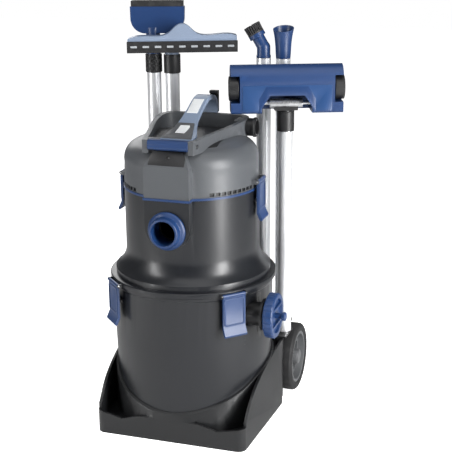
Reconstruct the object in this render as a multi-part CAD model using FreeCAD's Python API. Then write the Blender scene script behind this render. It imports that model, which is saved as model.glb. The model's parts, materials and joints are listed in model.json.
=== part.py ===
import FreeCAD, Part
import math
import os

V = FreeCAD.Vector

# A wet and dry shop vacuum on a two-wheeled trolley, with five suction tubes and their
# tools parked behind and beside the drum.
# Millimetres.  Origin on the floor at the drum's axis, front towards -Y, +X to the right.

# ---- driving dimensions -------------------------------------------------------------
BASE_FRONT_Y = -206.0        # front wall of the trolley
BASE_FRONT_HALF = 199.0      # half width at the front corners
BASE_REAR_HALF = 216.0       # half width at the rear end of the side walls
BASE_SIDE_END_Y = 96.0       # where the side walls stop in front of the wheels
BASE_TAIL_HALF = 189.0       # half width of the tail between the wheels
BASE_TAIL_Y = 262.0          # rear end of the tail
TAIL_TOP = 60.0
HORN_TOP = 190.0             # top of the side walls
FOOT_X = (-150.0, 150.0)     # rubber feet under the front
FOOT_Y = -170.0
FOOT_R = 14.0
POCKET_FLOOR = 14.0          # the drum stands here
POCKET_GAP = 0.6             # between drum and pocket

WHEEL_R = 94.0
WHEEL_Y = 210.0
WHEEL_IN = 192.0             # inner face of a wheel
WHEEL_OUT = 234.0            # outer face of a wheel
AXLE_R = 5.0
RIM_R = 72.0
SPOKE_WINDOWS = 5

DRUM_R = 206.0               # lower drum
DRUM_FOOT_R = 200.0          # lower drum near its floor
DRUM_WALL = 4.0
DRUM_TOP = 391.0
SEAL_H = 2.0
FLANGE_R = 215.0             # rim flange of the upper drum
FLANGE_LOW = DRUM_TOP + SEAL_H
FLANGE_TOP = 405.0
NECK_R = 200.0               # foot of the upper drum's flare
SHOULDER_Z = 472.0           # top of the flare
UPPER_R = 172.0
UPPER_TOP = 628.0
SEAM_H = 6.0
HEAD_LOW = UPPER_TOP + SEAM_H
HEAD_TOP = 757.0

BAY_HALF = 58.0              # flat bay on the front of upper drum and head
BAY_Y = -184.0
BAY_LOW = 505.0

INLET_Z = 555.0
INLET_BORE_R = 31.0
INLET_FLANGE_R = 48.0
INLET_MOUTH_Y = -213.0

DRAIN_Y = -87.0
DRAIN_Z = 328.0
DRAIN_BORE_R = 22.0
SPIGOT_R = 30.0
CAP_R = 57.0
CAP_IN = 226.0               # inner face of the drain cap
CAP_OUT = 252.0
KNOB_END = 274.0
CAP_GRIPS = 24

DECK_LOW = 191.0             # tool deck over the wheels
DECK_TOP = 195.0
DECK_CLEAR_R = 218.0         # the drum lifts past the deck

TUBE_R = 19.0
TUBE_WALL = 1.3
PEG_R = 17.4
PEG_H = 40.0
FLOOR_TUBE_AT = (205.0, 150.0)
OUTER_TUBE_X = 181.0
INNER_TUBE_X = 128.0
REAR_TUBE_Y = 212.0
TUBE_SPOTS = {
    "flat": (-OUTER_TUBE_X, REAR_TUBE_Y),
    "squeegee": (-INNER_TUBE_X, REAR_TUBE_Y),
    "brush": (INNER_TUBE_X, REAR_TUBE_Y),
    "flared": (OUTER_TUBE_X, REAR_TUBE_Y),
    "floor": FLOOR_TUBE_AT,
}
COLLAR_R = 22.5
REAR_TUBE_TOP = 925.0
FLOOR_TUBE_TOP = 799.0
DECK_SCREW_SPOTS = [(x, y) for x in (-70.0, 70.0) for y in (228.0, 248.0)]

LATCH_THICK = 6.0
LATCH_PIN_R = 2.0
LATCH_KNUCKLE_R = 4.4
CATCH_HALF = 16.0
NOSE_GAP = 0.4               # between a latch's nose and its catch
LOWER_LATCH_HALF = 31.0
LOWER_LATCH_FOOT_Z = 291.0
LOWER_PIN_R = 221.5
LOWER_PIN_Z = 397.0
LOWER_CATCH_R = 212.2
LOWER_CATCH_Z = 345.0
LOWER_LATCH_ANGLES = {"right": -44.0, "left": -136.0}
UPPER_LATCH_HALF = 28.0
UPPER_LATCH_FOOT_Z = 551.0
UPPER_PIN_R = 183.0
UPPER_PIN_Z = 652.0
UPPER_CATCH_R = 177.0
UPPER_CATCH_Z = 598.0
UPPER_LATCH_ANGLES = {"right": 0.0, "left": 180.0}

HEAD_WALL = 3.5
HEAD_CURVE = [(UPPER_R, HEAD_LOW), (UPPER_R - 2, 695), ((UPPER_R - 10, 728), (138, 745)),
              ((120, 753), (96, HEAD_TOP))]
VENT_COUNT = 9               # slots in each row
VENT_PITCH = 5.2             # degrees
VENT_STARTS = (-54.0, -125.4)
VENT_LOW = HEAD_LOW + 2
VENT_HIGH = VENT_LOW + 9

PLATE_H = 5.0                # partition under the motor
CAGE_LOW = 545.0
CAGE_R = 44.0
MOTOR_LOW = HEAD_LOW + 42.0
SHAFT_R = 5.0
FAN_R = 80.0
FAN_BLADES = 7

ARM_LOW = 741.0              # underside of the carrier
FRAME_FRONT_Y = -168.0
FRAME_FRONT_Z = 775.0
FRAME_REAR_Y = 142.0
FRAME_REAR_Z = 788.0
FRAME_SCREW_SPOTS = [(side * 66.0, -150.0) for side in (-1, 1)]
GRIP_HALF = 52.0
GRIP_DEPTH = 17.0
STRAP_LEFT = -24.0           # handle's sides at its front foot
STRAP_RIGHT = 58.0
PORT_Y = 92.0                # blower outlet
PORT_Z = 764.0
PORT_R = 23.0
PORT_BORE_R = 18.0
HANDLE_TOP_LINE = [(-104, 781), (-66, 787), (-22, 800), (31, 824), (66, 838), (98, 841),
                   (124, 834), (138, 818), (141, 789)]
SWITCH_X = 8.0
SWITCH_Y = -84.0
SWITCH_Z = 783.5
SWITCH_TILT = 9.0
SWITCH_HALF_W = 12.0
SWITCH_HALF_L = 22.0

SQUEEGEE_MID_X = -100.5
SQUEEGEE_HALF = 143.5
SQUEEGEE_YAW = 21.0          # the parked tools are turned on their pegs
SQUEEGEE_FRONT_Y = 146.0
SQUEEGEE_BACK_Y = 184.0
SQUEEGEE_NECK_Z = 952.0
SQUEEGEE_SLOTS = 9
FLAT_YAW = 15.0
FLAT_OFFSET = 13.0           # middle of the flat nozzle, right of its tube
FLAT_HALF = 72.5
FLAT_LOW = 981.0
FLAT_TOP = 1051.0
FLAT_LIP_TOP = 1066.0
BRUSH_KNEE_Z = 952.0
BRUSH_TIP = (-20.0, 34.0)    # from the knee of the brush's neck
BRISTLE_LENGTH = 26.0

FLOOR_YAW = 21.0
NOZZLE_LOW = 800.0           # floor nozzle
NOZZLE_TOP = 921.0
NOZZLE_FRONT_Y = 106.0
NOZZLE_BACK_Y = 172.0
NOZZLE_HALF = 143.0
SWIVEL_Y = 140.0
SWIVEL_Z = 822.0
BAR_R = 12.0
BAR_HALF = 42.0
BAR_PIN_R = 5.0
ROLLER_R = 31.0
ROLLER_Y = 135.0
ROLLER_Z = 862.0
ROLLER_W = 24.0
ROLLER_PIN_R = 5.0

RUN_GAP = 0.05               # radial clearance of a running fit

parts = {}


# ---- helpers ------------------------------------------------------------------------
def box(x0, x1, y0, y1, z0, z1):
    return Part.makeBox(x1 - x0, y1 - y0, z1 - z0, V(x0, y0, z0))


def rod(radius, start, end):
    start, end = V(*start), V(*end)
    return Part.makeCylinder(radius, (end - start).Length, start, end - start)


def pipe(outer, inner, start, end):
    return rod(outer, start, end).cut(rod(inner, start, end))


def face(steps, place):
    """Closed face from an outline.

    A step is a point, a pair (through, to) for an arc, or a list of points for a spline.
    """
    edges = []
    first = here = steps[0]
    for step in steps[1:]:
        if isinstance(step, list):
            to = step[-1]
            curve = Part.BSplineCurve()
            curve.interpolate([place(*point) for point in [here] + step])
            edges.append(curve.toShape())
        elif isinstance(step[0], tuple):
            through, to = step
            edges.append(Part.Arc(place(*here), place(*through), place(*to)).toShape())
        else:
            to = step
            edges.append(Part.LineSegment(place(*here), place(*to)).toShape())
        here = to
    if here != first:
        edges.append(Part.LineSegment(place(*here), place(*first)).toShape())
    return Part.Face(Part.Wire(edges))


def lathe(steps):
    """Turn an (r, z) outline about the Z axis."""
    return face(steps, lambda r, z: V(r, 0, z)).revolve(V(0, 0, 0), V(0, 0, 1), 360)


def prism_x(steps, low, high):
    return face(steps, lambda y, z: V(low, y, z)).extrude(V(high - low, 0, 0))


def prism_y(steps, low, high):
    return face(steps, lambda x, z: V(x, low, z)).extrude(V(0, high - low, 0))


def prism_z(steps, low, high):
    return face(steps, lambda x, y: V(x, y, low)).extrude(V(0, 0, high - low))


def fuse(shapes):
    return shapes[0].multiFuse(shapes[1:]).removeSplitter()


def turned(shape, degrees):
    copy = shape.copy()
    copy.rotate(V(0, 0, 0), V(0, 0, 1), degrees)
    return copy


def moved(shape, x=0.0, y=0.0, z=0.0):
    copy = shape.copy()
    copy.translate(V(x, y, z))
    return copy


def yawed(shape, spot, degrees):
    """Turn a tool about the tube it is parked on."""
    copy = shape.copy()
    copy.rotate(V(*spot, 0), V(0, 0, 1), degrees)
    return copy


def mirrored(shape):
    return shape.mirror(V(0, 0, 0), V(1, 0, 0))


def rounded(shape, radius, pick):
    edges = [edge for edge in shape.Edges if pick(edge)]
    return shape.makeFillet(radius, edges)


def upright(edge):
    a, b = edge.firstVertex().Point, edge.lastVertex().Point
    return abs(a.x - b.x) < 0.01 and abs(a.y - b.y) < 0.01


# ---- trolley ------------------------------------------------------------------------
def drum_outside(gap):
    """Outside of the lower drum up to its plain wall, grown by gap; it narrows downwards."""
    return [(0, POCKET_FLOOR - gap), (172, POCKET_FLOOR - gap),
            ((DRUM_FOOT_R - 8 + gap, 22 - gap), (DRUM_FOOT_R + gap, 46)),
            (DRUM_R + gap, 250)]


def base_plan(inset):
    front = BASE_FRONT_HALF - inset
    rear = BASE_REAR_HALF - inset
    return prism_z([(-front, BASE_FRONT_Y + inset), (front, BASE_FRONT_Y + inset),
                    (rear, BASE_SIDE_END_Y), (-rear, BASE_SIDE_END_Y)], 0, HORN_TOP)


def base_trolley():
    front_y = BASE_FRONT_Y
    corner = lambda e: upright(e) and e.firstVertex().Point.y < 0
    plan = rounded(base_plan(0), 22, corner)
    hollow = rounded(base_plan(7), 15, corner)
    ridge = [(front_y - 1, 0), (front_y - 1, 60), [(-188, 72), (-150, 112), (-100, 143),
                                                   (-30, 167), (BASE_SIDE_END_Y, HORN_TOP - 2)],
             (BASE_SIDE_END_Y, 0)]
    lip = [(front_y - 1, 0), (front_y - 1, 79), [(-174, 101), (-120, 129), (-70, 156),
                                                 (0, 178), (BASE_SIDE_END_Y, HORN_TOP - 2)],
           (BASE_SIDE_END_Y, 0)]
    front_top = [(-BASE_REAR_HALF, 0), (-BASE_REAR_HALF, 62), (-190, 60), (-128, 47),
                 ((-64, 63), (0, 69)), ((64, 63), (128, 47)), (190, 60),
                 (BASE_REAR_HALF, 62), (BASE_REAR_HALF, 0)]
    reach = BASE_REAR_HALF
    walls = plan.cut(hollow).common(prism_x(ridge, -reach, reach))
    low_front = box(-reach, reach, front_y, front_y + 20, 0, HORN_TOP)
    walls = walls.cut(low_front.cut(prism_y(front_top, front_y, front_y + 20)))
    collar = rod(DRUM_R + 3.5, (0, 0, 0), (0, 0, HORN_TOP)).common(prism_x(lip, -reach, reach))
    ground = box(-reach, reach, front_y, BASE_SIDE_END_Y, 0, 30)
    shell = plan.common(fuse([walls, collar, ground]))
    tail = box(-BASE_TAIL_HALF, BASE_TAIL_HALF, BASE_SIDE_END_Y - 20, BASE_TAIL_Y, 0, TAIL_TOP)
    hollow_tail = box(-165, 165, 215, BASE_TAIL_Y - 5, -1, TAIL_TOP - 4)
    body = fuse([shell, tail])
    for side in (-1, 1):
        inner, outer = sorted((side * 172, side * 184))
        front, rear = WHEEL_Y - 25, WHEEL_Y + 25
        cheek = prism_x([(front, TAIL_TOP - 1), (front, WHEEL_R + 2),
                         ((WHEEL_Y, WHEEL_R + 27), (rear, WHEEL_R + 2)),
                         (rear, TAIL_TOP - 1)], inner, outer)
        body = body.fuse(cheek)
    body = body.cut(lathe(drum_outside(POCKET_GAP) + [(0, 250)]))
    body = body.cut(hollow_tail)
    body = body.cut(rod(AXLE_R + RUN_GAP, (-300, WHEEL_Y, WHEEL_R), (300, WHEEL_Y, WHEEL_R)))
    for x in FOOT_X:
        body = body.cut(rod(FOOT_R, (x, FOOT_Y, -1), (x, FOOT_Y, 3)))
    return body.removeSplitter()


def front_feet():
    return [rod(FOOT_R, (x, FOOT_Y, 0), (x, FOOT_Y, 3)) for x in FOOT_X]


def tool_deck():
    half = [(0, 98), (224, 98), (224, 168), ((221, 173), (216, 174)), (206, 177),
            (206, 225), ((200, 247), (BASE_TAIL_HALF - 6, 258)), (0, 258)]
    right = prism_z(half, DECK_LOW, DECK_TOP)
    web = box(185, BASE_TAIL_HALF, 100, 258, TAIL_TOP, DECK_LOW)
    guard = box(BASE_TAIL_HALF, 216, 98, 102, 20, DECK_LOW)
    pieces = [right, web, guard]
    pieces += [mirrored(piece) for piece in pieces]
    pieces.append(box(-BASE_TAIL_HALF, BASE_TAIL_HALF, 254, 258, TAIL_TOP, DECK_LOW))
    body = fuse(pieces)
    body = body.cut(rod(DECK_CLEAR_R, (0, 0, 0), (0, 0, 300)))
    spots = list(TUBE_SPOTS.values()) + [(-FLOOR_TUBE_AT[0], FLOOR_TUBE_AT[1])]
    pegs = [Part.makeCone(PEG_R, PEG_R - 1.5, PEG_H, V(x, y, DECK_TOP)) for x, y in spots]
    body = fuse([body] + pegs)
    return body.cut(rod(AXLE_R + RUN_GAP, (-300, WHEEL_Y, WHEEL_R), (300, WHEEL_Y, WHEEL_R)))


def axle():
    return rod(AXLE_R, (-WHEEL_OUT + 6, WHEEL_Y, WHEEL_R), (WHEEL_OUT - 6, WHEEL_Y, WHEEL_R))


def wheel_lathe(steps):
    """Turn an (x, r) outline about the axle."""
    flat = face(steps, lambda x, r: V(x, WHEEL_Y, WHEEL_R + r))
    return flat.revolve(V(0, WHEEL_Y, WHEEL_R), V(1, 0, 0), 360)


def wheel_rim():
    bore = AXLE_R + RUN_GAP
    body = wheel_lathe([(WHEEL_IN + 1, bore), (WHEEL_IN + 1, 18), (207, 20), (207, 62),
                        (WHEEL_IN + 3, 64), (WHEEL_IN + 3, RIM_R), (WHEEL_OUT - 3, RIM_R),
                        (WHEEL_OUT - 3, 64), (214, 60), (214, 24), (WHEEL_OUT - 2, 20),
                        ((WHEEL_OUT, 16), (WHEEL_OUT, 12)), (WHEEL_OUT, 0),
                        (WHEEL_OUT - 6 + 0.4, 0), (WHEEL_OUT - 6 + 0.4, bore)])
    for i in range(SPOKE_WINDOWS):
        window = rod(15, (200, WHEEL_Y, WHEEL_R + 42), (220, WHEEL_Y, WHEEL_R + 42))
        window.rotate(V(0, WHEEL_Y, WHEEL_R), V(1, 0, 0), 360 * i / SPOKE_WINDOWS)
        body = body.cut(window)
    return body


def tyre():
    return wheel_lathe([(WHEEL_IN + 2, RIM_R), (WHEEL_IN, RIM_R + 8),
                        ((WHEEL_IN + 1.5, 88), (WHEEL_IN + 7, WHEEL_R - 0.8)),
                        ((210, WHEEL_R), (WHEEL_OUT - 7, WHEEL_R - 0.8)),
                        ((WHEEL_OUT - 1.5, 88), (WHEEL_OUT, RIM_R + 8)),
                        (WHEEL_OUT - 2, RIM_R)])


parts["base_trolley"] = base_trolley()
parts["front_feet"] = front_feet()
parts["tool_deck"] = tool_deck()
parts["deck_screws"] = [rod(4, (x, y, DECK_TOP), (x, y, DECK_TOP + 2))
                        for x, y in DECK_SCREW_SPOTS]
parts["wheel_axle"] = axle()
parts["right_wheel_rim"] = wheel_rim()
parts["right_tyre"] = tyre()
parts["left_wheel_rim"] = mirrored(parts["right_wheel_rim"])
parts["left_tyre"] = mirrored(parts["right_tyre"])


# ---- latches ------------------------------------------------------------------------
# A latch is a plate that hangs from a pin between two lugs and holds at a catch on the drum
# below.  It is drawn on the +X side and turned to its place.
def latch(foot_z, pin_r, pin_z, half, catch_r, catch_z):
    reach = pin_r - LATCH_THICK / 2
    outer = pin_r + LATCH_THICK / 2
    steps = [(reach, foot_z + 20), (reach, pin_z), (outer, pin_z), (outer, foot_z + 24),
             (outer + 9, foot_z + 5), (outer + 7, foot_z), (outer + 2, foot_z + 2)]
    flat = face(steps, lambda r, z: V(r, -half, z))
    plate = flat.extrude(V(0, 2 * half, 0))
    knuckle = rod(LATCH_KNUCKLE_R, (pin_r, -half, pin_z), (pin_r, half, pin_z))
    nose = box(catch_r + NOSE_GAP, reach, -CATCH_HALF, CATCH_HALF, catch_z - 10, catch_z - 1)
    body = fuse([plate, knuckle, nose])
    return body.cut(rod(LATCH_PIN_R + RUN_GAP, (pin_r, -99, pin_z), (pin_r, 99, pin_z)))


def latch_pin(pin_r, pin_z, half):
    return rod(LATCH_PIN_R, (pin_r, -half - 4.0, pin_z), (pin_r, half + 4.0, pin_z))


def with_lugs(body, angles, root_r, pin_r, pin_z, half):
    """Add the ears that hold the latch pins, one each side of each latch."""
    ears = []
    for side in (-1, 1):
        low, high = sorted((side * (half + 0.5), side * (half + 4.0)))
        ears.append(rod(LATCH_KNUCKLE_R, (pin_r, low, pin_z), (pin_r, high, pin_z)))
        ears.append(box(root_r, pin_r, low, high, pin_z - 6, pin_z + LATCH_KNUCKLE_R))
    pair = fuse(ears)
    bore = rod(LATCH_PIN_R, (pin_r, -99, pin_z), (pin_r, 99, pin_z))
    for angle in angles.values():
        body = body.fuse(turned(pair, angle)).cut(turned(bore, angle))
    return body


def with_catches(body, angles, root_r, catch_r, catch_z):
    for angle in angles.values():
        catch = box(root_r, catch_r, -CATCH_HALF, CATCH_HALF, catch_z, catch_z + 8)
        body = body.fuse(turned(catch, angle))
    return body


lower_latch = latch(LOWER_LATCH_FOOT_Z, LOWER_PIN_R, LOWER_PIN_Z, LOWER_LATCH_HALF,
                    LOWER_CATCH_R, LOWER_CATCH_Z)
upper_latch = latch(UPPER_LATCH_FOOT_Z, UPPER_PIN_R, UPPER_PIN_Z, UPPER_LATCH_HALF,
                    UPPER_CATCH_R, UPPER_CATCH_Z)
for side, angle in LOWER_LATCH_ANGLES.items():
    parts[side + "_lower_latch"] = turned(lower_latch, angle)
for side, angle in UPPER_LATCH_ANGLES.items():
    parts[side + "_upper_latch"] = turned(upper_latch, angle)
parts["lower_latch_pins"] = [turned(latch_pin(LOWER_PIN_R, LOWER_PIN_Z, LOWER_LATCH_HALF), a)
                             for a in LOWER_LATCH_ANGLES.values()]
parts["upper_latch_pins"] = [turned(latch_pin(UPPER_PIN_R, UPPER_PIN_Z, UPPER_LATCH_HALF), a)
                             for a in UPPER_LATCH_ANGLES.values()]


# ---- lower drum and drain -----------------------------------------------------------
def lower_drum():
    w = DRUM_WALL
    body = lathe(drum_outside(0) + [
        (DRUM_R, 380), (DRUM_R + 3, 383), (DRUM_R + 3, DRUM_TOP), (DRUM_R - 8, DRUM_TOP),
        (DRUM_R - w, 384), (DRUM_R - w, 250), (DRUM_FOOT_R - w, 46),
        ((DRUM_FOOT_R - 11, 25), (170, POCKET_FLOOR + w)), (0, POCKET_FLOOR + w)])
    body = with_catches(body, LOWER_LATCH_ANGLES, DRUM_R - w / 2, LOWER_CATCH_R, LOWER_CATCH_Z)
    return body.cut(rod(DRAIN_BORE_R, (100, DRAIN_Y, DRAIN_Z), (300, DRAIN_Y, DRAIN_Z)))


def along_drain(steps):
    """Turn an (x, r) outline about the drain's axis."""
    flat = face(steps, lambda x, r: V(x, DRAIN_Y, DRAIN_Z + r))
    return flat.revolve(V(0, DRAIN_Y, DRAIN_Z), V(1, 0, 0), 360)


def drain_spigot():
    body = along_drain([(150, DRAIN_BORE_R), (150, SPIGOT_R), (214, SPIGOT_R), (214, 40),
                        (220, 40), (220, 34), (238, 34), (238, DRAIN_BORE_R)])
    return body.cut(rod(DRUM_R, (0, 0, 200), (0, 0, DRUM_TOP - 12)))


def drain_cap():
    gap = 0.3
    body = along_drain([(CAP_IN, 34 + gap), (CAP_IN, 50), (CAP_IN + 4, CAP_R),
                        (CAP_OUT - 3, CAP_R), (CAP_OUT, CAP_R - 3), (CAP_OUT, 44),
                        (CAP_OUT - 6, 42), (CAP_OUT - 6, 0), (238 + gap, 0),
                        (238 + gap, 34 + gap)])
    for i in range(CAP_GRIPS):
        groove = rod(2.2, (CAP_IN - 1, DRAIN_Y, DRAIN_Z + CAP_R + 0.8),
                     (CAP_OUT + 1, DRAIN_Y, DRAIN_Z + CAP_R + 0.8))
        groove.rotate(V(0, DRAIN_Y, DRAIN_Z), V(1, 0, 0), 360 * i / CAP_GRIPS)
        body = body.cut(groove)
    bars = [box(CAP_OUT - 6, CAP_OUT, DRAIN_Y - 42, DRAIN_Y + 42, DRAIN_Z + low, DRAIN_Z + low + 5)
            for low in (-24, 19)]
    inside = rod(43, (CAP_OUT - 6, DRAIN_Y, DRAIN_Z), (CAP_OUT, DRAIN_Y, DRAIN_Z))
    return fuse([body] + [bar.common(inside) for bar in bars])


def drain_knob():
    seat = CAP_OUT - 6
    return along_drain([(seat, 0), (seat, 7), (KNOB_END - 10, 7), (KNOB_END - 10, 11),
                        (KNOB_END - 2, 11), (KNOB_END, 9), (KNOB_END, 0)])


parts["lower_drum"] = lower_drum()
parts["rim_seal"] = lathe([(DRUM_R - 8, DRUM_TOP), (DRUM_R + 2, DRUM_TOP),
                           (DRUM_R + 2, FLANGE_LOW), (DRUM_R - 8, FLANGE_LOW)])
parts["drain_spigot"] = drain_spigot()
parts["drain_cap"] = drain_cap()
parts["drain_knob"] = drain_knob()


# ---- upper drum, inlet and seam -----------------------------------------------------
def bay_outline(inset):
    half = BAY_HALF - inset
    turn = BAY_LOW + half
    return [(-half, UPPER_TOP), (-half, turn), ((0, BAY_LOW + inset), (half, turn)),
            (half, UPPER_TOP)]


def upper_drum():
    wall = 3.5
    body = lathe([(NECK_R - 6, FLANGE_LOW), (FLANGE_R, FLANGE_LOW),
                  (FLANGE_R, FLANGE_TOP - 2), (FLANGE_R - 2, FLANGE_TOP),
                  (NECK_R, FLANGE_TOP), (NECK_R, FLANGE_TOP + 14),
                  ((UPPER_R + 4, SHOULDER_Z - 22), (UPPER_R, SHOULDER_Z)),
                  (UPPER_R, UPPER_TOP), (UPPER_R - wall, UPPER_TOP),
                  (UPPER_R - wall, SHOULDER_Z - 4),
                  ((UPPER_R + 2 - wall, SHOULDER_Z - 26), (NECK_R - 6, FLANGE_TOP + 12))])
    hollow = rod(UPPER_R - wall, (0, 0, 480), (0, 0, UPPER_TOP))
    bay = prism_y(bay_outline(0), BAY_Y, -100).cut(prism_y(bay_outline(wall), BAY_Y + wall, -90))
    bay = bay.cut(hollow)
    window = prism_y(bay_outline(wall), -UPPER_R - 20, -UPPER_R + 40).common(
        prism_y(bay_outline(wall), BAY_Y + wall, -150))
    body = body.cut(window)
    body = fuse([body, bay])
    body = with_lugs(body, LOWER_LATCH_ANGLES, FLANGE_R - 8, LOWER_PIN_R, LOWER_PIN_Z,
                     LOWER_LATCH_HALF)
    body = with_catches(body, UPPER_LATCH_ANGLES, UPPER_R - wall / 2, UPPER_CATCH_R,
                        UPPER_CATCH_Z)
    return body.cut(rod(INLET_BORE_R + 4, (0, -250, INLET_Z), (0, -100, INLET_Z)))


def along_inlet(steps):
    """Turn a (y, r) outline about the inlet's axis."""
    flat = face(steps, lambda y, r: V(0, y, INLET_Z + r))
    return flat.revolve(V(0, 0, INLET_Z), V(0, 1, 0), 360)


def inlet_coupling():
    bore = INLET_BORE_R
    return along_inlet([(INLET_MOUTH_Y, bore), (INLET_MOUTH_Y, bore + 4),
                        (INLET_MOUTH_Y + 2, bore + 6), (BAY_Y - 12, bore + 8),
                        (BAY_Y - 8, INLET_FLANGE_R - 3), (BAY_Y - 5, INLET_FLANGE_R),
                        (BAY_Y, INLET_FLANGE_R), (BAY_Y, bore + 4), (-150, bore + 4),
                        (-150, bore + 1.5), (-187, bore + 1.5), (-187, bore)])


def inlet_seal():
    bore = INLET_BORE_R
    return along_inlet([(-150, bore - 2), (-150, bore + 4), (-146, bore + 4), (-146, bore - 2)])


def seam_outline(grow):
    """Plan of the seam: the drum's circle with the flat bay standing in front of it."""
    radius = UPPER_R + grow
    half = BAY_HALF + grow
    edge = -math.sqrt(radius * radius - half * half)
    front = BAY_Y - grow
    return [(-half, edge), ((0, radius), (half, edge)), (half, front), (-half, front)]


def seam_ring():
    return prism_z(seam_outline(2.5), UPPER_TOP, HEAD_LOW).cut(
        prism_z(seam_outline(-3.5), UPPER_TOP - 1, HEAD_LOW + 1))


parts["upper_drum"] = upper_drum()
parts["inlet_coupling"] = inlet_coupling()
parts["inlet_seal"] = inlet_seal()
parts["seam_ring"] = seam_ring()


# ---- motor head ---------------------------------------------------------------------
def head_solid(inset):
    """Outside of the head, or its inside when inset by the wall."""
    curve = [(r - inset, z) if not isinstance(r, tuple) else
             ((r[0] - inset, r[1] - inset), (z[0] - inset, z[1] - inset))
             for r, z in HEAD_CURVE]
    steps = [(0, HEAD_LOW)] + curve + [(0, HEAD_TOP - inset)]
    body = lathe(steps)
    half = BAY_HALF - inset
    top_half = 36.0 - inset
    bay = prism_y([(-half, HEAD_LOW), (-half, 709), (-top_half, HEAD_TOP - 5 - inset),
                   (top_half, HEAD_TOP - 5 - inset), (half, 709), (half, HEAD_LOW)],
                  BAY_Y + inset, -100)
    slope = prism_x([(BAY_Y + inset, 712 - inset), (-160, 747 - inset),
                     (-150, HEAD_TOP + 1 - inset), (-150, 800), (BAY_Y - 20, 800),
                     (BAY_Y - 20, 712 - inset)], -90, 90)
    return body.fuse(bay.cut(slope)).removeSplitter()


def vent_slots():
    """Two rows of upright slots low on the head, right and left of the bay."""
    slots = []
    slot = box(150, 180, -6.2, 6.2, VENT_LOW, VENT_HIGH)
    for start, step in zip(VENT_STARTS, (VENT_PITCH, -VENT_PITCH)):
        for i in range(VENT_COUNT):
            slots.append(turned(slot, start + step * i))
    return slots


def motor_head():
    body = head_solid(0).cut(head_solid(HEAD_WALL))
    for slot in vent_slots():
        body = body.cut(slot)
    return with_lugs(body, UPPER_LATCH_ANGLES, UPPER_R - 4.5, UPPER_PIN_R, UPPER_PIN_Z,
                     UPPER_LATCH_HALF)


def vent_grilles():
    """Two dark curved strips behind the slots."""
    strips = []
    for start, span in ((-58, 50), (-173, 50)):
        strip = Part.makeCylinder(UPPER_R - HEAD_WALL - 0.9, VENT_HIGH - VENT_LOW + 6,
                                  V(0, 0, VENT_LOW - 1), V(0, 0, 1), span)
        inner = rod(UPPER_R - HEAD_WALL - 3.5, (0, 0, VENT_LOW - 2), (0, 0, VENT_HIGH + 9))
        strips.append(turned(strip.cut(inner), start))
    return strips


parts["motor_head"] = motor_head()
parts["vent_grilles"] = vent_grilles()


# ---- inside the head ----------------------------------------------------------------
def head_base():
    """Partition under the motor: a flange between seam ring and head, with the air hole."""
    plate = prism_z(seam_outline(-4.2), HEAD_LOW - PLATE_H, HEAD_LOW + 1)
    wall = pipe(92, 88, (0, 0, HEAD_LOW + 1), (0, 0, MOTOR_LOW - 6))
    hub = pipe(SHAFT_R + 6, SHAFT_R + RUN_GAP, (0, 0, MOTOR_LOW - 6), (0, 0, MOTOR_LOW))
    roof = pipe(92, SHAFT_R + RUN_GAP, (0, 0, MOTOR_LOW - 6), (0, 0, MOTOR_LOW - 3))
    for i in range(4):
        roof = roof.cut(turned(rod(9, (60, 0, 0), (60, 0, 900)), 90 * i))
    body = fuse([plate, wall, roof, hub])
    return body.cut(rod(30, (0, 0, 600), (0, 0, HEAD_LOW + 2)))


def motor_housing():
    return lathe([(SHAFT_R + 7, MOTOR_LOW), (58, MOTOR_LOW), (62, MOTOR_LOW + 4),
                  (62, MOTOR_LOW + 50), (48, MOTOR_LOW + 62), (0, MOTOR_LOW + 62),
                  (0, MOTOR_LOW + 58), (SHAFT_R + 7, MOTOR_LOW + 58)])


def motor_shaft():
    return rod(SHAFT_R, (0, 0, HEAD_LOW + 8), (0, 0, MOTOR_LOW + 50))


def fan_impeller():
    """Back plate, hub and backward-curved blades of the suction fan."""
    low = HEAD_LOW + 10
    plate = pipe(FAN_R, SHAFT_R, (0, 0, low + 16), (0, 0, low + 19))
    hub = pipe(14, SHAFT_R, (0, 0, low), (0, 0, low + 16))
    blades = []
    for i in range(FAN_BLADES):
        arc = pipe(60, 58, (0, 40, low), (0, 40, low + 16))
        blade = arc.common(box(20, FAN_R - 1, -40, 60, low, low + 16))
        blade = blade.common(pipe(FAN_R - 2, 13, (0, 0, low), (0, 0, low + 16)))
        blades.append(turned(blade, 360 * i / FAN_BLADES))
    return fuse([plate, hub] + blades)


def filter_cage():
    top = HEAD_LOW - PLATE_H
    body = lathe([(0, CAGE_LOW), (CAGE_R, CAGE_LOW), (CAGE_R, top), (CAGE_R - 3, top),
                  (CAGE_R - 3, CAGE_LOW + 3), (0, CAGE_LOW + 3)])
    for row in range(3):
        z = CAGE_LOW + 12 + 24 * row
        for i in range(5):
            slot = box(20, CAGE_R + 2, -7, 7, z, z + 16)
            body = body.cut(turned(slot, 72 * i))
    return body


def float_cup():
    """The float that closes the air hole when the drum is full."""
    radius = 38.0
    low = CAGE_LOW + 4
    return lathe([(0, low), (radius, low), (radius, low + 42), (radius - 6, low + 48),
                  (0, low + 48), (0, low + 44), (radius - 7, low + 44), (radius - 2, low + 38),
                  (radius - 2, low + 2), (0, low + 2)])


def filter_sleeve():
    return pipe(CAGE_R + 12, CAGE_R, (0, 0, CAGE_LOW + 2), (0, 0, HEAD_LOW - PLATE_H))


parts["head_base"] = head_base()
parts["motor_housing"] = motor_housing()
parts["motor_shaft"] = motor_shaft()
parts["fan_impeller"] = fan_impeller()
parts["filter_cage"] = filter_cage()
parts["filter_sleeve"] = filter_sleeve()
parts["float_cup"] = float_cup()


# ---- carrier and handle on the head -------------------------------------------------
def frame_plan():
    """Right half outline of the carrier: narrow in front, wide and rounded behind."""
    return [(0, FRAME_FRONT_Y), (65, FRAME_FRONT_Y), (72, -140),
            [(100, -30), (114, 30), (121, 90)], ((110, 124), (78, 136)), (0, FRAME_REAR_Y)]


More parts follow.
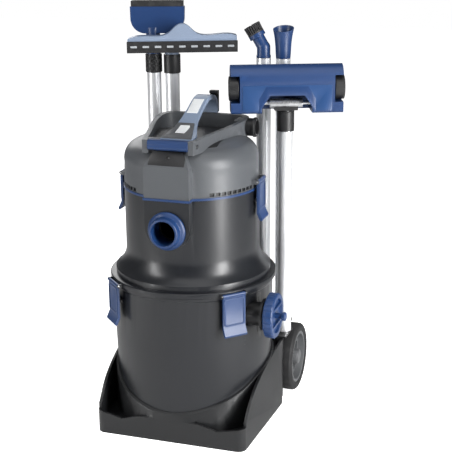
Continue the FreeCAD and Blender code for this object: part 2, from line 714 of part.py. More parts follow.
def both_halves(steps, low, high):
    half = prism_z(steps, low, high)
    return fuse([half, mirrored(half)])


def carrier_frame():
    body = both_halves(frame_plan(), ARM_LOW, 800)
    inner = both_halves([(0, -140), (60, -140), [(88, -30), (102, 30), (109, 88)],
                         ((99, 112), (72, 123)), (0, 128)], ARM_LOW - 1, 801)
    body = body.cut(inner)
    body = body.cut(box(-GRIP_HALF, GRIP_HALF, FRAME_FRONT_Y - 1, FRAME_FRONT_Y + GRIP_DEPTH,
                        700, 810))
    body = body.cut(box(STRAP_LEFT, STRAP_RIGHT, -152, -139, 758, 810))
    lid = prism_x([(-200, FRAME_FRONT_Z - 2.5), (FRAME_REAR_Y + 30, FRAME_REAR_Z + 1),
                   (FRAME_REAR_Y + 30, 830), (-200, 830)], -150, 150)
    body = body.cut(lid)
    plenum = box(92, 112, PORT_Y - 26, PORT_Y + 26, ARM_LOW, PORT_Z + 20)
    body = body.fuse(plenum).cut(head_solid(0))
    body = body.cut(rod(PORT_BORE_R, (100, PORT_Y, PORT_Z), (160, PORT_Y, PORT_Z)))
    for x, y in FRAME_SCREW_SPOTS:
        body = body.cut(rod(5, (x, y, 760), (x + math.copysign(20, x), y, 760)))
    return body.removeSplitter()


def blower_port():
    return fuse([pipe(PORT_R, PORT_BORE_R, (122, PORT_Y, PORT_Z), (146, PORT_Y, PORT_Z)),
                 pipe(PORT_R + 2.5, PORT_BORE_R, (138, PORT_Y, PORT_Z), (143, PORT_Y, PORT_Z))])


def front_grip():
    """Hand grip across the front of the carrier."""
    y = FRAME_FRONT_Y
    half = GRIP_HALF - 0.3
    steps = [(y + 4, 749), ((y - 1, 752), (y - 2, 762)), ((y, 771), (y + 6, 774)),
             (y + GRIP_DEPTH - 0.3, 774), (y + GRIP_DEPTH - 0.3, 756)]
    return prism_x(steps, -half, half).cut(head_solid(0))


def handle_band(low, high):
    """Side view of the handle, a band of even thickness that stands on the frame."""
    top = HANDLE_TOP_LINE
    under = [(130, 789), (128, 812), (118, 824), (97, 830), (69, 827), (35, 814), (-18, 789),
             (-64, 776), (-104, 770)]
    steps = [(-151, 776), top, under[0], under[1:], (-151, 764)]
    return prism_x(steps, low, high)


def handle_plan():
    """Plan of the handle: broad at its front foot, narrow where the hand holds it."""
    right = [(STRAP_RIGHT, -151), (STRAP_RIGHT, -138),
             [(52, -104), (37, -60), (26, -20), (23, 30), (22, 80)], (26, 141)]
    left = [(-21, 141), [(-16, 80), (-16, 30), (-18, -20), (-20, -60)], (STRAP_LEFT, -151)]
    return prism_z(right + left, 740, 860)


def switch_block(grow, low, high):
    block = box(SWITCH_X - SWITCH_HALF_W - grow, SWITCH_X + SWITCH_HALF_W + grow,
                SWITCH_Y - SWITCH_HALF_L - grow, SWITCH_Y + SWITCH_HALF_L + grow,
                SWITCH_Z + low, SWITCH_Z + high)
    block.rotate(V(SWITCH_X, SWITCH_Y, SWITCH_Z), V(1, 0, 0), SWITCH_TILT)
    return block


def strap_handle():
    body = handle_band(-70, 70).common(handle_plan())
    foot = box(STRAP_LEFT, STRAP_RIGHT, -151, -140, 758, 770)
    body = fuse([body, foot]).cut(head_solid(0))
    return body.cut(switch_block(1.2, -7, 20))


def power_switch():
    """Rocker with two flats that meet at its middle."""
    length = SWITCH_HALF_L
    steps = [(-length, 2), (0, 3.2), (length, 5.5), (length - 2, -2), (4, -6), (-4, -6),
             (-length + 2, -4)]
    rocker = prism_x([(SWITCH_Y + y, SWITCH_Z + z) for y, z in steps],
                     SWITCH_X - SWITCH_HALF_W, SWITCH_X + SWITCH_HALF_W)
    rocker.rotate(V(SWITCH_X, SWITCH_Y, SWITCH_Z), V(1, 0, 0), SWITCH_TILT)
    return rocker


def cable_hook():
    """Black hook on the handle's rear that the cable is wound on."""
    hook = prism_x([(130, 790), (147, 790), (147, 846), (131, 846), (131, 840), (137, 837),
                    (138, 818)], 4, 26)
    return hook.cut(handle_band(-70, 70)).cut(box(0, 30, 120, 139, 780, 817))


parts["carrier_frame"] = carrier_frame()
parts["blower_port"] = blower_port()
parts["front_grip"] = front_grip()
parts["strap_handle"] = strap_handle()
parts["power_switch"] = power_switch()
parts["cable_hook"] = cable_hook()
parts["head_screws"] = [rod(4, (x, y, 760), (x + math.copysign(3, x), y, 760))
                        for x, y in FRAME_SCREW_SPOTS]


# ---- tubes and tools ----------------------------------------------------------------
def tube(name, top):
    x, y = TUBE_SPOTS[name]
    return pipe(TUBE_R, TUBE_R - TUBE_WALL, (x, y, DECK_TOP), (x, y, top))


def collar(name, low, high, ribs):
    """Sleeve on a tube's end; ribs are grip rings round it."""
    x, y = TUBE_SPOTS[name]
    body = pipe(COLLAR_R - (1.2 if ribs else 0), TUBE_R, (x, y, low), (x, y, high))
    step = (high - low) / (ribs + 1) if ribs else 0
    rings = [pipe(COLLAR_R, TUBE_R, (x, y, low + step * i - 1.6), (x, y, low + step * i + 1.6))
             for i in range(1, ribs + 1)]
    return fuse([body] + rings) if rings else body


def flat_nozzle():
    """Wide upholstery nozzle, flat in depth, open at its top edge."""
    x, y = TUBE_SPOTS["flat"]
    mid, half, low, top = x + FLAT_OFFSET, FLAT_HALF, FLAT_LOW, FLAT_TOP
    outline = [(mid - 26, low), ((mid - half + 14, low + 10), (mid - half + 1, low + 40)),
               (mid - half, top), (mid + half, top), (mid + half - 1, low + 40),
               ((mid + half - 14, low + 10), (mid + 26, low))]
    slab = prism_y(outline, y - 17, y + 19)
    side = prism_x([(y - 17, low - 6), (y + 19, low - 6), (y + 17, top), (y - 10, top)],
                   mid - 90, mid + 90)
    body = slab.common(side)
    mouth = prism_y([(mid - half + 6, low + 37), (mid - half + 6, top + 9),
                     (mid + half - 6, top + 9), (mid + half - 6, low + 37)], y - 6, y + 12)
    stem = rod(TUBE_R, (x, y, 926), (x, y, 996))
    body = fuse([body, stem]).cut(mouth)
    return body.cut(rod(11, (x, y, 900), (x, y, low + 40)))


def flat_nozzle_lip():
    x, y = TUBE_SPOTS["flat"]
    mid, half = x + FLAT_OFFSET, FLAT_HALF - 3
    outer = box(mid - half, mid + half, y - 11, y + 17, FLAT_TOP, FLAT_LIP_TOP)
    return outer.cut(box(mid - half + 5, mid + half - 5, y - 6, y + 12, FLAT_TOP - 5,
                         FLAT_LIP_TOP + 5))


def squeegee_nozzle():
    """Long wet-floor nozzle that hangs in front of the tubes on a bent neck."""
    x, y = TUBE_SPOTS["squeegee"]
    mid, half = SQUEEGEE_MID_X, SQUEEGEE_HALF
    top = [(mid - half, 952), (mid - half, 974), [(mid - 90, 981), (mid - 34, 989),
                                                  (mid - 16, 1005), (mid, 1011),
                                                  (mid + 16, 1005), (mid + 34, 989),
                                                  (mid + 90, 983), (mid + half, 980)],
           (mid + half, 952)]
    bar = prism_y(top, SQUEEGEE_FRONT_Y, SQUEEGEE_BACK_Y)
    slope = prism_x([(SQUEEGEE_FRONT_Y - 1, 972), (SQUEEGEE_FRONT_Y + 22, 1013),
                     (SQUEEGEE_FRONT_Y - 1, 1013)], -400, 400)
    knee = SQUEEGEE_NECK_Z
    neck = fuse([rod(TUBE_R, (x, y, 926), (x, y, knee)),
                 Part.makeSphere(TUBE_R, V(x, y, knee)),
                 rod(TUBE_R, (x, y, knee), (x, SQUEEGEE_BACK_Y - 10, knee))])
    neck = neck.cut(box(-400, 400, 0, SQUEEGEE_BACK_Y - 3.8, 900, knee))
    body = fuse([bar.cut(slope), neck])
    slot = box(mid - half + 6, mid + half - 6, SQUEEGEE_FRONT_Y + 14, SQUEEGEE_BACK_Y - 10,
               940, 966)
    return body.cut(slot).cut(rod(TUBE_R - 4, (x, y, 900), (x, y, 950)))


def squeegee_strip():
    """Black lip round the nozzle's mouth, with a row of slots in its front."""
    left, right = SQUEEGEE_MID_X - SQUEEGEE_HALF, SQUEEGEE_MID_X + SQUEEGEE_HALF
    front, back = SQUEEGEE_FRONT_Y, SQUEEGEE_BACK_Y
    low, seat = 938, 952
    body = fuse([box(left - 2, right + 2, front - 4, front, low, 968),
                 box(left - 2, right + 2, front, front + 10, low, seat),
                 box(left - 2, right + 2, back - 10, back - 4, low, seat),
                 box(left - 2, left + 6, front, back - 4, low, seat),
                 box(right - 6, right + 2, front, back - 4, low, seat)])
    pitch = 2 * SQUEEGEE_HALF / SQUEEGEE_SLOTS
    for i in range(SQUEEGEE_SLOTS):
        x = left + pitch * (i + 0.5)
        body = body.cut(box(x - 9, x + 9, front - 5, front - 2, 951, 957))
    return body


def brush_nozzle():
    x, y = TUBE_SPOTS["brush"]
    knee = BRUSH_KNEE_Z
    dx, dz = BRUSH_TIP
    bent = rod(16.5, (x, y, knee), (x + dx, y, knee + dz))
    cup = rod(22, (x + dx * 0.75, y, knee + dz * 0.75), (x + dx, y, knee + dz))
    body = fuse([rod(17.5, (x, y, 926), (x, y, knee)), Part.makeSphere(17.5, V(x, y, knee)),
                 rod(TUBE_R, (x, y, 926), (x, y, 932)), bent, cup])
    hollow = fuse([rod(13, (x, y, 900), (x, y, knee)), Part.makeSphere(13, V(x, y, knee)),
                   rod(13, (x, y, knee), (x + 1.5 * dx, y, knee + 1.5 * dz))])
    return body.cut(hollow)


def brush_bristles():
    x, y = TUBE_SPOTS["brush"]
    dx, dz = BRUSH_TIP
    stretch = 1 + BRISTLE_LENGTH / math.hypot(dx, dz)
    start = (x + dx, y, BRUSH_KNEE_Z + dz)
    end = (x + dx * stretch, y, BRUSH_KNEE_Z + dz * stretch)
    return pipe(22, 13, start, end)


def flared_nozzle():
    """Bell-mouthed nozzle with a slanting mouth."""
    x, y = TUBE_SPOTS["flared"]
    body = lathe([(15, 926), (TUBE_R, 926), (TUBE_R + 1, 940), [(21, 960), (24, 985), (30, 1010)],
                  (28, 1010), [(22, 985), (19, 960), (16, 935)], (15, 930)])
    slant = prism_x([(-40, 992), (40, 1010), (40, 1030), (-40, 1030)], -40, 40)
    return moved(body.cut(slant), x, y)


def roller_end(side):
    """Inner and outer x of a roller, side -1 left or +1 right."""
    middle = FLOOR_TUBE_AT[0]
    end = NOZZLE_HALF + 4
    return sorted((middle + side * (end - ROLLER_W), middle + side * end))


def roller_axis(x0, x1):
    return (x0, ROLLER_Y, ROLLER_Z), (x1, ROLLER_Y, ROLLER_Z)


def swivel_rod(radius, half):
    middle = FLOOR_TUBE_AT[0]
    return rod(radius, (middle - half, SWIVEL_Y, SWIVEL_Z), (middle + half, SWIVEL_Y, SWIVEL_Z))


def floor_nozzle():
    mid = FLOOR_TUBE_AT[0]
    front, back, low, top = NOZZLE_FRONT_Y, NOZZLE_BACK_Y, NOZZLE_LOW, NOZZLE_TOP
    body = prism_x([(front + 8, low), ((front + 2, low + 2), (front, low + 8)), (front, 876),
                    ((front + 9, 908), (front + 34, top)), ((back - 10, top - 8), (back, 890)),
                    (back, low + 6), (back - 6, low)], mid - NOZZLE_HALF, mid + NOZZLE_HALF)
    recess = prism_y([(mid - 64, low - 1), (mid - 64, 816), (mid - 44, 846), (mid + 44, 846),
                      (mid + 64, 816), (mid + 64, low - 1)], front - 1, back - 4)
    body = body.cut(recess)
    body = body.cut(box(mid - 80, mid + 80, front + 18, back - 14, 844, 900))
    for cell in ((mid - 108, mid - 84), (mid + 84, mid + 108)):
        body = body.cut(box(*cell, front + 6, back - 6, low - 1, 815))
    for side in (-1, 1):
        x0, x1 = roller_end(side)
        space = ROLLER_R + 3
        well = rod(space, *roller_axis(x0 - 2, x1 + 3))
        mouth = box(x0 - 2, x1 + 3, front - 5, ROLLER_Y, ROLLER_Z - space, ROLLER_Z + space)
        body = body.cut(well.fuse(mouth))
        inner = x0 - 3 if side > 0 else x1 + 3
        end = inner + side * (ROLLER_W - 2)
        body = body.fuse(rod(ROLLER_PIN_R, *roller_axis(inner, end)))
    return body.cut(swivel_rod(BAR_PIN_R + RUN_GAP, 80))


def floor_roller(side):
    x0, x1 = roller_end(side)
    body = pipe(ROLLER_R, ROLLER_PIN_R + RUN_GAP, *roller_axis(x0, x1))
    dish_ends = (x1 - 4, x1 + 1) if side > 0 else (x0 - 1, x0 + 4)
    return body.cut(pipe(ROLLER_R - 6, 11, *roller_axis(*dish_ends)))


def floor_neck():
    x, y = FLOOR_TUBE_AT
    stem = rod(16, (x, y, FLOOR_TUBE_TOP), (x, y, 810))
    yoke = box(x - 30, x + 30, 132, 164, 803, SWIVEL_Z - 4)
    return fuse([stem, yoke]).cut(swivel_rod(BAR_R, 60))


def floor_nozzle_bar():
    return fuse([swivel_rod(BAR_R, BAR_HALF), swivel_rod(BAR_PIN_R, 74)])


for tool in ("flat", "squeegee", "brush", "flared"):
    parts[tool + "_tube"] = tube(tool, REAR_TUBE_TOP)
parts["floor_tube"] = tube("floor", FLOOR_TUBE_TOP)
parts["flat_tube_collar"] = collar("flat", 876, 926, 6)
parts["squeegee_tube_collar"] = collar("squeegee", 876, 926, 0)
parts["floor_tube_collar"] = collar("floor", 748, FLOOR_TUBE_TOP, 0)
parts["flat_nozzle"] = yawed(flat_nozzle(), TUBE_SPOTS["flat"], FLAT_YAW)
parts["flat_nozzle_lip"] = yawed(flat_nozzle_lip(), TUBE_SPOTS["flat"], FLAT_YAW)
parts["squeegee_nozzle"] = yawed(squeegee_nozzle(), TUBE_SPOTS["squeegee"], SQUEEGEE_YAW)
parts["squeegee_strip"] = yawed(squeegee_strip(), TUBE_SPOTS["squeegee"], SQUEEGEE_YAW)
parts["brush_nozzle"] = brush_nozzle()
parts["brush_bristles"] = brush_bristles()
parts["flared_nozzle"] = flared_nozzle()
parts["floor_nozzle"] = yawed(floor_nozzle(), FLOOR_TUBE_AT, FLOOR_YAW)
parts["left_floor_roller"] = yawed(floor_roller(-1), FLOOR_TUBE_AT, FLOOR_YAW)
parts["right_floor_roller"] = yawed(floor_roller(1), FLOOR_TUBE_AT, FLOOR_YAW)
parts["floor_neck"] = yawed(floor_neck(), FLOOR_TUBE_AT, FLOOR_YAW)
parts["floor_nozzle_bar"] = yawed(floor_nozzle_bar(), FLOOR_TUBE_AT, FLOOR_YAW)


# ---- write --------------------------------------------------------------------------
os.makedirs("parts", exist_ok=True)
for name, shape in parts.items():
    solid = Part.makeCompound(shape) if isinstance(shape, list) else shape
    valid = solid.isValid() and len(solid.Solids) >= 1
    print(f"{name:24s} solids {len(solid.Solids)} volume {solid.Volume / 1000:9.1f} cm3", valid)
    solid.exportStep(os.path.join("parts", name + ".step"))
print(len(parts), "parts")
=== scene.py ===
import json
import math
import random

import bmesh
import bpy
from mathutils import Matrix, Vector


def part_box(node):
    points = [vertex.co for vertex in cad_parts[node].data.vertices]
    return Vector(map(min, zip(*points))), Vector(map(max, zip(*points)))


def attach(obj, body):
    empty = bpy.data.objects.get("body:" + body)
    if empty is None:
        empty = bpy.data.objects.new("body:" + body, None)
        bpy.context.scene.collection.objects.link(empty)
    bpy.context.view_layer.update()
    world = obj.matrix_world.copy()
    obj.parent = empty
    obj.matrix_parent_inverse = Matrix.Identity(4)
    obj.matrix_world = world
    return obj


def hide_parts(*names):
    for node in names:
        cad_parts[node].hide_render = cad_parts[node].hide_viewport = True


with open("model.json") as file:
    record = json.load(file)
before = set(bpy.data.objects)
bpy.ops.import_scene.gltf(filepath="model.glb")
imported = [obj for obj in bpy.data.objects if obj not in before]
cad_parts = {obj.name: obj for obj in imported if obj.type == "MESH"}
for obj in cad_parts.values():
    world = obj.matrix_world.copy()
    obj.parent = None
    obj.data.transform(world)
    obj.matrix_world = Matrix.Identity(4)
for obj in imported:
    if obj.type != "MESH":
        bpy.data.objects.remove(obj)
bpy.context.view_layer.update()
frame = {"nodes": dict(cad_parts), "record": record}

NODES = frame["nodes"]
RECORD = frame["record"]
BODY_OF = {node: body for body, nodes in RECORD["behaviour"]["bodies"].items() for node in nodes}
SLOT_OF = {part["node"]: part["material_slot"] for part in RECORD["subparts"]}


# ---- materials ----------------------------------------------------------------------
class Finish:
    """A node material built up step by step on one Principled shader."""

    def __init__(self, name, rough, metal=0.0, specular=0.5):
        self.material = bpy.data.materials.new(name)
        self.material.use_nodes = True
        self.tree = self.material.node_tree
        self.tree.nodes.clear()
        output = self.tree.nodes.new("ShaderNodeOutputMaterial")
        self.shader = self.tree.nodes.new("ShaderNodeBsdfPrincipled")
        self.tree.links.new(self.shader.outputs[0], output.inputs[0])
        self.shader.inputs["Roughness"].default_value = rough
        self.shader.inputs["Metallic"].default_value = metal
        self.shader.inputs["Specular IOR Level"].default_value = specular
        self.where = self.tree.nodes.new("ShaderNodeTexCoord").outputs["Object"]

    def put(self, kind, **values):
        node = self.tree.nodes.new(kind)
        for key, value in values.items():
            if key in node.inputs:
                self.feed(node.inputs[key], value)
            else:
                setattr(node, key, value)
        return node

    def feed(self, socket, value):
        if isinstance(value, bpy.types.NodeSocket):
            self.tree.links.new(value, socket)
        else:
            socket.default_value = value

    def stretched(self, scale):
        return self.put("ShaderNodeMapping", Vector=self.where, Scale=scale).outputs[0]

    def noise(self, scale, detail=3.0, stretch=None, roughness=0.55):
        vector = self.stretched(stretch) if stretch else self.where
        return self.put("ShaderNodeTexNoise", Vector=vector, Scale=scale, Detail=detail,
                        Roughness=roughness).outputs[0]

    def cells(self, scale):
        cell = self.put("ShaderNodeTexVoronoi", Vector=self.where, Scale=scale)
        return cell.outputs["Distance"]

    def spread(self, value, low, high, start=0.3, stop=0.7):
        node = self.put("ShaderNodeMapRange", Value=value)
        for key, number in (("From Min", start), ("From Max", stop), ("To Min", low),
                            ("To Max", high)):
            node.inputs[key].default_value = number
        return node.outputs[0]

    def blend(self, share, first, second):
        node = self.put("ShaderNodeMix", data_type="RGBA")
        for socket, value in zip((node.inputs[0], node.inputs[6], node.inputs[7]),
                                 (share, first, second)):
            self.feed(socket, value)
        return node.outputs[2]

    def add(self, first, second, weight):
        node = self.put("ShaderNodeMath", operation="MULTIPLY_ADD")
        for socket, value in zip(node.inputs, (second, weight, first)):
            self.feed(socket, value)
        return node.outputs[0]

    def colour(self, value):
        self.feed(self.shader.inputs["Base Color"], value)

    def rough(self, value):
        self.feed(self.shader.inputs["Roughness"], value)

    def bump(self, height, distance, strength=1.0):
        node = self.put("ShaderNodeBump", Height=height)
        node.inputs["Strength"].default_value = strength
        node.inputs["Distance"].default_value = distance
        self.feed(self.shader.inputs["Normal"], node.outputs[0])


def rgba(colour, factor=1.0):
    return tuple(channel * factor for channel in colour) + (1.0,)


def moulded(name, colour, rough, grain, depth, mottle=0.12, scuff=0.5):
    """Injection-moulded plastic: fine etched grain, faint flow marks, handling smears."""
    f = Finish(name, rough)
    flow = f.noise(3.2, 2.0, stretch=(1, 1, 0.35))
    speck = f.noise(grain * 0.55, 1.0)
    tone = f.blend(f.spread(flow, 0, 1), rgba(colour, 1 - mottle), rgba(colour, 1 + mottle))
    tone = f.blend(f.spread(speck, 0.0, 0.22, 0.45, 0.8), tone, rgba(colour, 1.45))
    scratch = f.noise(130.0, 2.0, stretch=(1, 1, 0.06), roughness=0.7)
    worn = f.spread(scratch, 0.0, 0.10 * scuff, 0.66, 0.8)
    f.colour(f.blend(worn, tone, rgba([c * 0.8 + 0.08 for c in colour])))
    smear = f.noise(11.0, 4.0)
    f.rough(f.spread(smear, rough - 0.025, rough + 0.03))
    f.bump(f.add(f.noise(grain, 2.0), f.cells(grain * 0.8), 0.5), depth, 0.7)
    return f.material


def drawn_tube(name, colour, rough):
    """Bright drawn tube: long fine lines along the tube and a faint haze."""
    f = Finish(name, rough, metal=0.6)
    lines = f.noise(700.0, 2.0, stretch=(1, 1, 0.008))
    haze = f.noise(5.0, 2.0, stretch=(1, 1, 0.2))
    f.colour(f.blend(f.spread(lines, 0, 1), rgba(colour, 0.90), rgba(colour, 1.05)))
    f.rough(f.spread(haze, rough - 0.01, rough + 0.015))
    f.bump(lines, 0.000003, 0.2)
    return f.material


def turned_steel(name, colour, rough):
    f = Finish(name, rough, metal=1.0)
    rings = f.noise(1400.0, 2.0, stretch=(1, 0.1, 0.1))
    stain = f.noise(60.0, 3.0)
    f.colour(f.blend(f.spread(stain, 0, 1), rgba(colour, 0.75), rgba(colour, 1.05)))
    f.rough(f.spread(rings, rough - 0.08, rough + 0.12))
    f.bump(rings, 0.00005, 0.5)
    return f.material


def rubber(name, colour, rough, grain):
    f = Finish(name, rough, specular=0.35)
    dust = f.noise(45.0, 5.0)
    f.colour(f.blend(f.spread(dust, 0.0, 0.35, 0.5, 0.75), rgba(colour),
                     rgba([c + 0.045 for c in colour])))
    f.rough(f.spread(f.noise(20.0, 3.0), rough - 0.08, rough + 0.06))
    f.bump(f.noise(grain, 3.0), 0.0002, 0.6)
    return f.material


def foam(name, colour):
    f = Finish(name, 0.95, specular=0.1)
    pores_and_shade = f.cells(420.0)
    # Painted shade: the pore cells are darkened to about a third of the foam's colour to stand
    # in for the shade inside the pores; the same cells also dent the surface.
    f.colour(f.blend(f.spread(pores_and_shade, 0, 1, 0.1, 0.5), rgba(colour, 0.35), rgba(colour, 1.15)))
    f.bump(pores_and_shade, 0.0012)
    return f.material


def hairs(name, colour):
    f = Finish(name, 0.55)
    strands = f.noise(300.0, 2.0)
    f.colour(f.blend(f.spread(strands, 0, 1), rgba(colour, 0.6), rgba(colour, 2.6)))
    f.bump(strands, 0.0003)
    return f.material


MATERIALS = {
    "dark_plastic": moulded("dark_plastic", (0.010, 0.011, 0.0135), 0.30, 1000, 0.00004,
                             mottle=0.08, scuff=0.12),
    "base_plastic": moulded("base_plastic", (0.0085, 0.009, 0.010), 0.36, 620, 0.00012,
                             mottle=0.10, scuff=0.2),
    "head_plastic": moulded("head_plastic", (0.072, 0.077, 0.084), 0.40, 760, 0.00008,
                             mottle=0.06, scuff=0.15),
    "blue_plastic": moulded("blue_plastic", (0.010, 0.035, 0.116), 0.37, 1100, 0.00005,
                            mottle=0.06, scuff=0.15),
    "pale_blue_plastic": moulded("pale_blue_plastic", (0.185, 0.235, 0.325), 0.38, 900,
                                 0.00006, mottle=0.05, scuff=0.15),
    "black_plastic": moulded("black_plastic", (0.010, 0.010, 0.011), 0.42, 800, 0.0001),
    "white_plastic": moulded("white_plastic", (0.70, 0.72, 0.73), 0.38, 900, 0.00004,
                             mottle=0.03, scuff=0.2),
    "rim_plastic": moulded("rim_plastic", (0.085, 0.088, 0.092), 0.45, 700, 0.0001),
    "tyre_rubber": rubber("tyre_rubber", (0.018, 0.018, 0.019), 0.72, 700),
    "black_rubber": rubber("black_rubber", (0.012, 0.012, 0.013), 0.62, 900),
    "tube_metal": drawn_tube("tube_metal", (0.86, 0.87, 0.89), 0.30),
    "steel": turned_steel("steel", (0.60, 0.61, 0.62), 0.30),
    "filter_foam": foam("filter_foam", (0.26, 0.27, 0.28)),
    "bristle": hairs("bristle", (0.012, 0.012, 0.013)),
}
LOOKS = {
    "light_blue": moulded("light_blue", (0.017, 0.052, 0.150), 0.32, 1000, 0.00006,
                          mottle=0.06, scuff=0.15),
    "grip_grey": moulded("grip_grey", (0.070, 0.074, 0.080), 0.50, 330, 0.00045),
    "slot_grey": moulded("slot_grey", (0.34, 0.36, 0.38), 0.45, 800, 0.00006),
}


COPLANAR = math.radians(0.05)     # faces flatter than this are joined
WELD = 1e-6
SHARP = 35.0                      # degrees, above which an edge is shaded sharp
SHARP_EDGED = 40.0                # the same for copies and covers of CAD shapes
EDGE_LIMIT = 28.0                 # degrees, above which an edge is rounded


# ---- pieces -------------------------------------------------------------------------
def publish(mesh, name, body, slot, smooth=SHARP, look=None):
    """Turn a mesh into a named piece that rides on a body."""
    piece = bpy.data.objects.new(name, mesh)
    bpy.context.scene.collection.objects.link(piece)
    mesh.materials.clear()
    mesh.materials.append(LOOKS[look] if look else MATERIALS[slot])
    mesh.shade_smooth()
    mesh.set_sharp_from_angle(angle=math.radians(smooth))
    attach(piece, body)
    return piece


def soften(piece, width, limit=EDGE_LIMIT):
    """Round a piece's sharp edges."""
    bevel = piece.modifiers.new("edges", "BEVEL")
    bevel.width = width
    bevel.segments = 2
    bevel.limit_method = "ANGLE"
    bevel.angle_limit = math.radians(limit)
    bevel.harden_normals = True
    bevel.use_clamp_overlap = True


def eased(node, width):
    """A copy of a CAD node with its sharp edges rounded, in the node's place."""
    work = bmesh.new()
    work.from_mesh(NODES[node].data)
    bmesh.ops.remove_doubles(work, verts=work.verts, dist=WELD)
    bmesh.ops.dissolve_limit(work, angle_limit=COPLANAR, verts=work.verts,
                             edges=work.edges)
    mesh = bpy.data.meshes.new(node + "_eased")
    work.to_mesh(mesh)
    work.free()
    piece = publish(mesh, node + "_eased", BODY_OF[node], SLOT_OF[node], SHARP_EDGED)
    soften(piece, width)
    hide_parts(node)
    return piece


EDGES = {
    "base_trolley": 0.0022, "tool_deck": 0.0008, "lower_drum": 0.0012, "upper_drum": 0.0010,
    "motor_head": 0.0007, "carrier_frame": 0.0016, "strap_handle": 0.0018,
    "front_grip": 0.0012, "power_switch": 0.0008, "cable_hook": 0.0012,
    "right_lower_latch": 0.0014, "left_lower_latch": 0.0014,
    "right_upper_latch": 0.0014, "left_upper_latch": 0.0014,
    "seam_ring": 0.0008, "drain_cap": 0.0008, "drain_knob": 0.0008, "drain_spigot": 0.0010,
    "inlet_coupling": 0.0008, "blower_port": 0.0008,
    "flat_nozzle": 0.0014, "flat_nozzle_lip": 0.0008, "squeegee_nozzle": 0.0016,
    "squeegee_strip": 0.0008, "floor_nozzle": 0.0016, "floor_nozzle_bar": 0.0006,
    "flared_nozzle": 0.0006, "brush_nozzle": 0.0006,
    "flat_tube_collar": 0.0006, "squeegee_tube_collar": 0.0006, "floor_tube_collar": 0.0006,
    "right_wheel_rim": 0.0008, "left_wheel_rim": 0.0008,
    "left_floor_roller": 0.0010, "right_floor_roller": 0.0010,
}
for node, width in EDGES.items():
    eased(node, width)
for node, piece in NODES.items():
    piece.data.materials.clear()
    piece.data.materials.append(MATERIALS[SLOT_OF[node]])


# ---- details ------------------------------------------------------------------------
AXES = {"x": Vector((1, 0, 0)), "y": Vector((0, 1, 0)), "z": Vector((0, 0, 1))}
HERE = Matrix.Identity(4)
COVER_ROOT = 0.0004               # how deep a cover reaches under the surface it lies on
COVER_EASE = 0.0004


def parked(tube, degrees):
    """Frame of a parked tool: upright on its tube's axis and turned with the tool."""
    low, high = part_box(tube)
    middle = (low + high) / 2
    return (Matrix.Translation((middle.x, middle.y, 0))
            @ Matrix.Rotation(math.radians(degrees), 4, "Z"))


def on_wall(degrees, radius, height):
    """Frame on an upright round wall: X along the wall, Y up and Z outwards."""
    turn = math.radians(degrees)
    out = Vector((math.cos(turn), math.sin(turn), 0))
    along = Vector((-out.y, out.x, 0))
    frame_at = Matrix((along, AXES["z"], out)).transposed().to_4x4()
    frame_at.translation = out * radius + AXES["z"] * height
    return frame_at


def aimed(place, direction):
    """Frame at a place whose Z looks along a direction."""
    turn = Vector(direction).to_track_quat("Z", "Y").to_matrix().to_4x4()
    return Matrix.Translation(place) @ turn


def inside(flat, node):
    """Whether a face lies over or under a CAD node, seen from above."""
    low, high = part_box(node)
    middle = flat.calc_center_median()
    return low.x < middle.x < high.x and low.y < middle.y < high.y


def skin(node, name, slot, spans, facing, lift, at=HERE, cuts=(), look=None, least=0.5,
         around=None):
    """A thin cover that follows part of a CAD node's surface, open around another node."""
    work = bmesh.new()
    work.from_mesh(NODES[node].data)
    bmesh.ops.remove_doubles(work, verts=work.verts, dist=WELD)
    turn = at.to_3x3()
    planes = [(AXES[axis] * value, AXES[axis] * sign) for axis, span in spans.items()
              for value, sign in zip(span, (-1, 1))]
    planes += [(Vector(point), Vector(normal)) for point, normal in cuts]
    for point, normal in planes:
        bmesh.ops.bisect_plane(work, geom=work.verts[:] + work.edges[:] + work.faces[:],
                               plane_co=at @ point, plane_no=turn @ normal, clear_outer=True)
    work.normal_update()
    toward = turn @ Vector(facing).normalized()
    other = [flat for flat in work.faces
             if flat.normal.dot(toward) < least or (around and inside(flat, around))]
    bmesh.ops.delete(work, geom=other, context="FACES")
    bmesh.ops.dissolve_limit(work, angle_limit=COPLANAR, verts=work.verts,
                             edges=work.edges)
    work.normal_update()
    for vertex in work.verts:
        vertex.co += vertex.normal * lift
    mesh = bpy.data.meshes.new(name)
    work.to_mesh(mesh)
    work.free()
    piece = publish(mesh, name, BODY_OF[node], slot, SHARP_EDGED, look)
    wall = piece.modifiers.new("wall", "SOLIDIFY")
    wall.thickness = lift + COVER_ROOT
    wall.offset = -1.0
    soften(piece, COVER_EASE, SHARP_EDGED)
    return piece


def spun(name, body, slot, profile, places, segments):
    """Outlines of (radius, height) turned about the Z axis of each frame, as one mesh."""
    work = bmesh.new()
    for at in places:
        rings = []
        for radius, height in profile:
            count = segments if radius > 0 else 1
            rings.append([work.verts.new(at @ Vector((
                radius * math.cos(math.tau * i / count),
                radius * math.sin(math.tau * i / count), height))) for i in range(count)])
        for low, high in zip(rings, rings[1:]):
            for i in range(segments):
                corners = [low[i % len(low)], low[(i + 1) % len(low)],
                           high[(i + 1) % len(high)], high[i % len(high)]]
                work.faces.new(list(dict.fromkeys(corners)))
    bmesh.ops.recalc_face_normals(work, faces=work.faces)
    mesh = bpy.data.meshes.new(name)
    work.to_mesh(mesh)
    work.free()
    return publish(mesh, name, body, slot)


def corners_of(half_width, half_height, radius, steps=4):
    """Outline of a rectangle with rounded corners."""
    outline = []
    for quarter, (x, y) in enumerate(((1, 1), (-1, 1), (-1, -1), (1, -1))):
        for i in range(steps + 1):
            turn = math.radians(90 * (quarter + i / steps))
            outline.append((x * (half_width - radius) + radius * math.cos(turn),
                            y * (half_height - radius) + radius * math.sin(turn)))
    return outline


